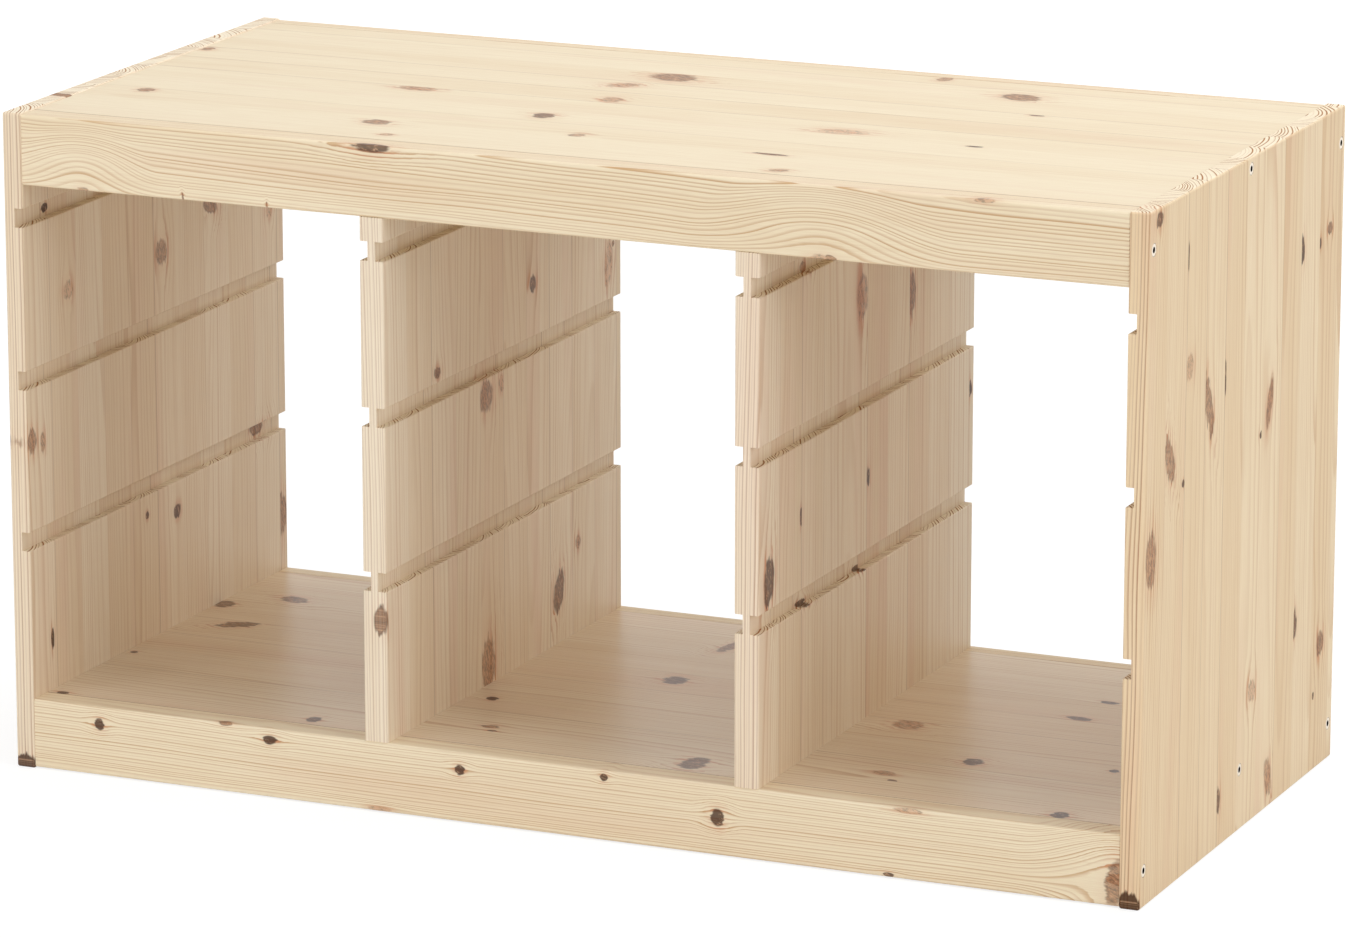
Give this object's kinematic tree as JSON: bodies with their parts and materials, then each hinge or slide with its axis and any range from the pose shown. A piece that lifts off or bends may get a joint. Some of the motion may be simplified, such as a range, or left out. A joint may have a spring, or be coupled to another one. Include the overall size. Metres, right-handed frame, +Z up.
{
  "type": "storage shelf frame",
  "caption": "Open-fronted pine storage frame with bays whose grooved sides and partitions carry sliding boxes or shelves.",
  "frame": {"origin": "on the floor, at the middle of the frame's footprint", "axes": "+X to the right along the width, +Y to the rear, +Z up; the front faces -Y"},
  "size_m": [0.93, 0.44, 0.52],
  "materials": {
    "side_wood": "clear-lacquered pine, satin",
    "partition_wood": "clear-lacquered pine, satin",
    "panel_wood": "clear-lacquered pine, satin",
    "rail_wood": "clear-lacquered pine, satin",
    "dowel_wood": "plain beech, unfinished",
    "screw_metal": "bright zinc-plated steel"
  },
  "bodies": {
    "root": {"side_left": "side_wood", "side_right": "side_wood", "partition_left": "partition_wood", "partition_right": "partition_wood", "top_panel": "panel_wood", "bottom_panel": "panel_wood", "top_front_rail": "rail_wood", "top_rear_rail": "rail_wood", "bottom_front_rail": "rail_wood", "bottom_rear_rail": "rail_wood", "partition_left_bottom_dowels": "dowel_wood", "partition_left_top_dowels": "dowel_wood", "partition_right_bottom_dowels": "dowel_wood", "partition_right_top_dowels": "dowel_wood", "rail_screws_left": "screw_metal", "rail_screws_right": "screw_metal", "panel_screws_left": "screw_metal", "panel_screws_right": "screw_metal"}
  },
  "joints": []
}
